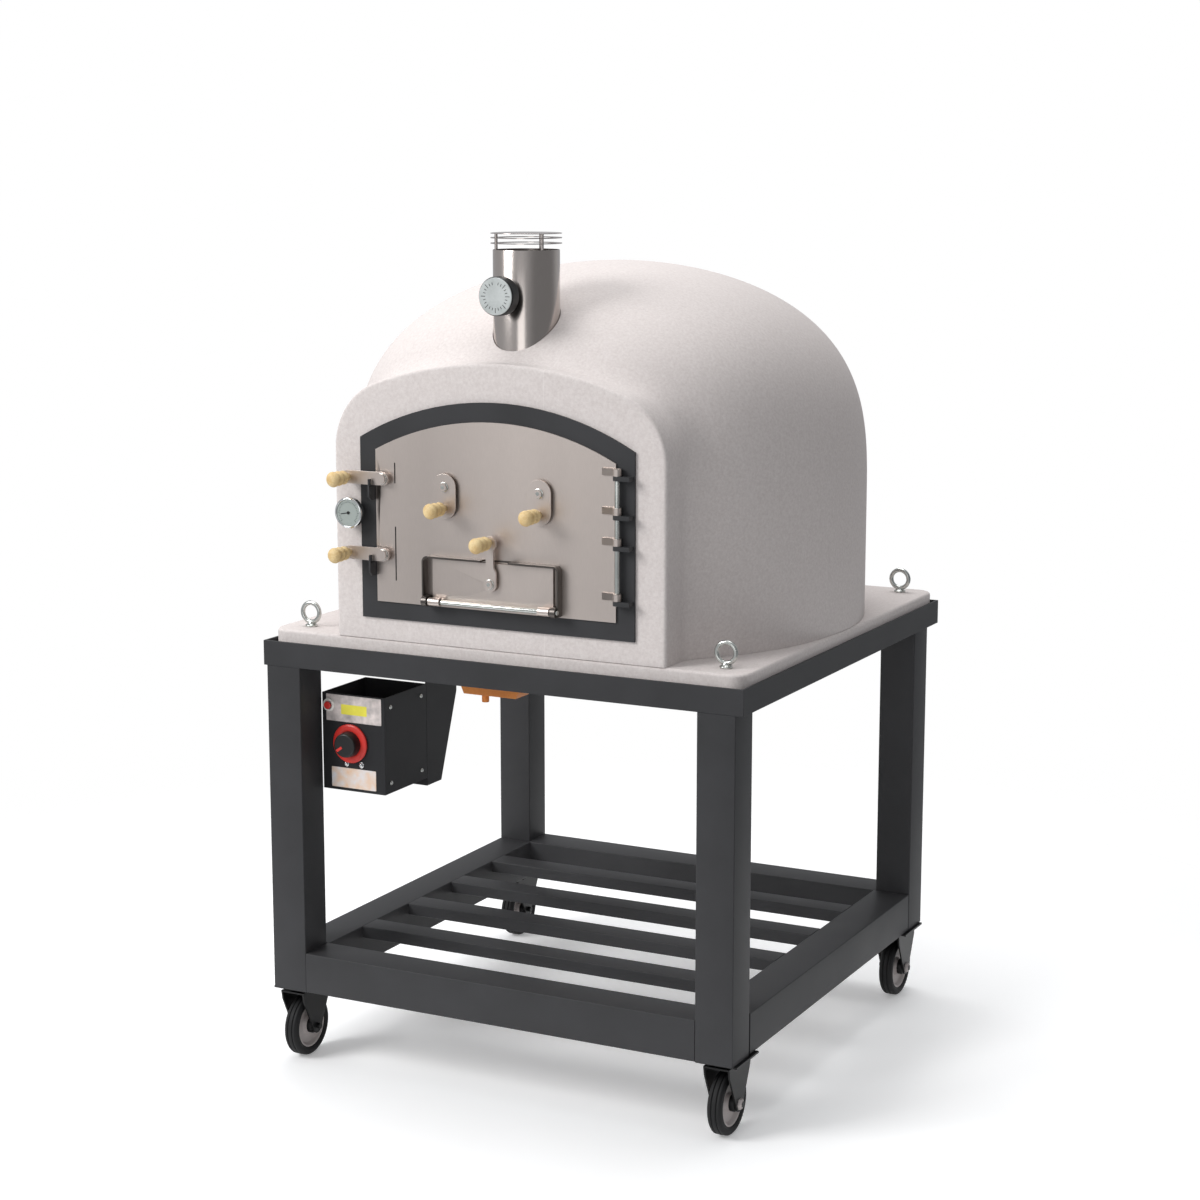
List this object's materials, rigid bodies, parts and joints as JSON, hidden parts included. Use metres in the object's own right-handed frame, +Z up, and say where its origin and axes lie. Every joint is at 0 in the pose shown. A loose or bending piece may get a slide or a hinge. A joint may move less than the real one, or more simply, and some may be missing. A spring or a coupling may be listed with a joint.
{
  "type": "wood fired pizza oven",
  "caption": "Cast refractory dome oven with arched portal, steel door, flue and damper, on a slab in a tray over a wheeled steel stand with a slatted shelf",
  "frame": {"origin": "middle of the plan of the whole oven, on the ground under the castors", "axes": "+Z up, the door faces -Y, +X to the right of someone facing the door"},
  "size_m": [1.022, 1.0868, 1.645],
  "materials": {
    "powder_coat": "matt anthracite powder coat",
    "black_fork": "satin black pressed steel",
    "tyre_rubber": "black solid rubber tread on a grey rim",
    "cast_refractory": "fine-grained cast refractory, warm white, matt",
    "ceramic_fibre": "white ceramic fibre blanket",
    "firebrick": "fired clay brick, matt",
    "zinc_steel": "bright zinc plate",
    "stainless_sheet": "satin stainless sheet",
    "stainless_flue": "polished stainless tube",
    "turned_pine": "pale turned pine, oiled",
    "black_knob": "black body with a silver face",
    "dial_chrome": "chromed bezel, black neck",
    "red_plastic": "red moulded plastic with a black cap",
    "orange_enamel": "orange-brown enamelled sheet"
  },
  "bodies": {
    "root": {"tray_frame": "powder_coat", "leg_front_left": "powder_coat", "leg_front_right": "powder_coat", "leg_back_left": "powder_coat", "leg_back_right": "powder_coat", "rail_front": "powder_coat", "rail_back": "powder_coat", "rail_left": "powder_coat", "rail_right": "powder_coat", "slat_1": "powder_coat", "slat_2": "powder_coat", "slat_3": "powder_coat", "slat_4": "powder_coat", "castor_fork_front_left": "black_fork", "castor_fork_front_right": "black_fork", "castor_fork_back_left": "black_fork", "castor_fork_back_right": "black_fork", "base_slab": "cast_refractory", "eyebolt_front_left": "zinc_steel", "eyebolt_front_right": "zinc_steel", "eyebolt_back_left": "zinc_steel", "eyebolt_back_right": "zinc_steel", "dome_shell": "cast_refractory", "dome_blanket": "ceramic_fibre", "inner_vault": "firebrick", "portal": "cast_refractory", "floor_insulation": "ceramic_fibre", "hearth_floor": "firebrick", "flue_pipe": "stainless_flue", "flue_cowl": "stainless_flue", "door_frame": "powder_coat", "hinge_rod": "zinc_steel", "thermometer": "dial_chrome", "control_box": "powder_coat", "burner_bracket": "powder_coat", "burner_body": "orange_enamel"},
    "door": {"door_panel": "stainless_sheet", "door_liner": "stainless_sheet", "door_insulation": "ceramic_fibre", "intake_hood": "stainless_sheet", "flap_rod": "zinc_steel"},
    "flap": {"flap_panel": "stainless_sheet"},
    "lever": {"flap_lever": "stainless_sheet", "flap_handle": "turned_pine"},
    "latch_upper": {"latch_bar_upper": "stainless_sheet", "latch_handle_upper": "turned_pine"},
    "latch_lower": {"latch_bar_lower": "stainless_sheet", "latch_handle_lower": "turned_pine"},
    "vent_left": {"vent_cover_left": "stainless_sheet", "vent_handle_left": "turned_pine"},
    "vent_right": {"vent_cover_right": "stainless_sheet", "vent_handle_right": "turned_pine"},
    "damper": {"damper_plate": "stainless_sheet", "damper_knob": "black_knob"},
    "gas_knob": {"control_knob": "red_plastic"},
    "igniter": {"igniter_button": "red_plastic"},
    "wheel_front_left": {"castor_wheel_front_left": "tyre_rubber"},
    "wheel_front_right": {"castor_wheel_front_right": "tyre_rubber"},
    "wheel_back_left": {"castor_wheel_back_left": "tyre_rubber"},
    "wheel_back_right": {"castor_wheel_back_right": "tyre_rubber"}
  },
  "joints": [
    {"name": "door_swing", "type": "hinge", "parent": "root", "child": "door", "pos_m": [0.259, -0.4756, 1.109], "axis": [0, 0, 1], "range_deg": [0, 150]},
    {"name": "flap_tilt", "type": "hinge", "parent": "door", "child": "flap", "pos_m": [0, -0.4876, 0.965], "axis": [1, 0, 0], "range_deg": [0, 80]},
    {"name": "lever_swing", "type": "hinge", "parent": "flap", "child": "lever", "pos_m": [0, -0.4821, 1.0065], "axis": [0, 1, 0], "range_deg": [0, 24]},
    {"name": "latch_upper_lift", "type": "hinge", "parent": "door", "child": "latch_upper", "pos_m": [-0.2325, -0.4796, 1.1885], "axis": [0, 1, 0], "range_deg": [0, 27]},
    {"name": "latch_lower_lift", "type": "hinge", "parent": "door", "child": "latch_lower", "pos_m": [-0.2325, -0.4796, 1.0444], "axis": [0, 1, 0], "range_deg": [0, 27]},
    {"name": "vent_left_swing", "type": "hinge", "parent": "door", "child": "vent_left", "pos_m": [-0.1, -0.47635, 1.1805], "axis": [0, 1, 0], "range_deg": [-90, 90]},
    {"name": "vent_right_swing", "type": "hinge", "parent": "door", "child": "vent_right", "pos_m": [0.1, -0.47635, 1.1805], "axis": [0, 1, 0], "range_deg": [-90, 90]},
    {"name": "damper_turn", "type": "hinge", "parent": "root", "child": "damper", "pos_m": [0, -0.3366, 1.533], "axis": [0, 1, 0], "range_deg": [0, 90]},
    {"name": "gas_knob_turn", "type": "hinge", "parent": "root", "child": "gas_knob", "pos_m": [-0.359, -0.4076, 0.6505], "axis": [0, -1, 0], "range_deg": [0, 180]},
    {"name": "igniter_press", "type": "slide", "parent": "root", "child": "igniter", "axis": [0, 1, 0], "range_m": [0, 0.004], "stiffness_N_per_m": 450},
    {"name": "wheel_spin_front_left", "type": "hinge", "parent": "root", "child": "wheel_front_left", "pos_m": [-0.4683, -0.4204, 0.06186], "axis": [1, 0, 0], "continuous": true},
    {"name": "wheel_spin_front_right", "type": "hinge", "parent": "root", "child": "wheel_front_right", "pos_m": [0.4597, -0.4204, 0.06186], "axis": [1, 0, 0], "continuous": true},
    {"name": "wheel_spin_back_left", "type": "hinge", "parent": "root", "child": "wheel_back_left", "pos_m": [-0.4683, 0.4636, 0.06186], "axis": [1, 0, 0], "continuous": true},
    {"name": "wheel_spin_back_right", "type": "hinge", "parent": "root", "child": "wheel_back_right", "pos_m": [0.4597, 0.4636, 0.06186], "axis": [1, 0, 0], "continuous": true}
  ]
}
